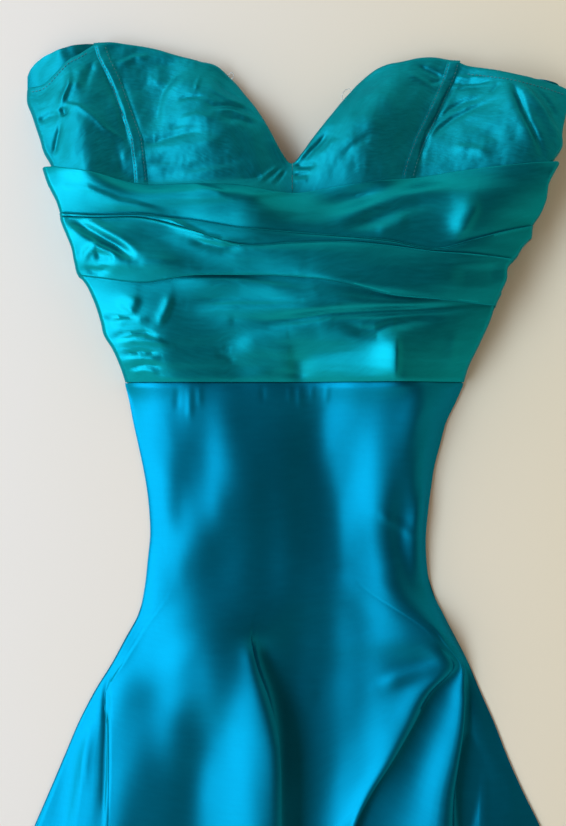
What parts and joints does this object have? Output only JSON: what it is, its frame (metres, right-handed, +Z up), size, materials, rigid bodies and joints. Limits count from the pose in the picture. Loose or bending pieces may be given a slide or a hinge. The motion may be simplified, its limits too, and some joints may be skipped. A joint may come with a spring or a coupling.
{
  "type": "evening gown",
  "caption": "Strapless floor-length satin evening gown with padded sweetheart cups, pleated midriff band and fluted skirt, laid flat on its back.",
  "frame": {"origin": "on the surface the gown lies on, in the middle of its box", "axes": "+Z up from the surface, +Y from the hem to the bust, +X towards the side that lies to the right as seen from above"},
  "size_m": [0.918, 1.3753, 0.054],
  "materials": {
    "bodice_satin": "teal silk satin, crisp sheen",
    "drape_satin": "teal silk satin, folded on the bias",
    "skirt_satin": "bluer teal silk satin, soft sheen",
    "zip_tape": "woven polyester tape",
    "zip_metal": "enamelled to match the satin"
  },
  "bodies": {
    "root": {"cup_left_side": "bodice_satin", "cup_left_centre": "bodice_satin", "cup_right_centre": "bodice_satin", "cup_right_side": "bodice_satin", "boning_left": "bodice_satin", "boning_right": "bodice_satin", "midriff_drape": "drape_satin", "skirt_front": "skirt_satin", "bodice_back_left": "bodice_satin", "bodice_back_right": "bodice_satin", "skirt_back_left": "skirt_satin", "skirt_back_right": "skirt_satin", "zip_tape_left": "zip_tape", "zip_tape_right": "zip_tape", "zip_slider": "zip_metal"}
  },
  "joints": []
}
